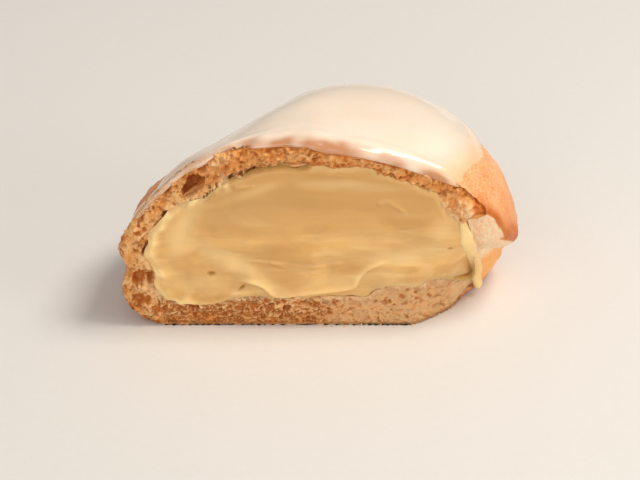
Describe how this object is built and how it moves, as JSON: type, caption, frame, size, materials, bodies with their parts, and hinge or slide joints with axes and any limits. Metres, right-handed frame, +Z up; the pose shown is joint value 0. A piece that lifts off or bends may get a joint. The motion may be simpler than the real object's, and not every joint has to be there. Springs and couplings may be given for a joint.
{
  "type": "cream puff",
  "caption": "Cream puff cut open: a domed choux shell with a flat base, a custard filling that shows at the cut face, and smooth pale icing over the top.",
  "frame": {"origin": "on the surface the puff rests on, under the middle of its outer box", "axes": "+Z up, the cut face looks along -Y, +X to the right of someone looking at the cut face"},
  "size_m": [0.0967, 0.0593, 0.05],
  "materials": {
    "choux": "baked, matt, porous at the cut",
    "custard": "moist, soft gloss",
    "icing": "set glaze, glossy, slightly see-through"
  },
  "bodies": {
    "root": {"choux_shell": "choux", "custard": "custard", "icing": "icing"}
  },
  "joints": []
}
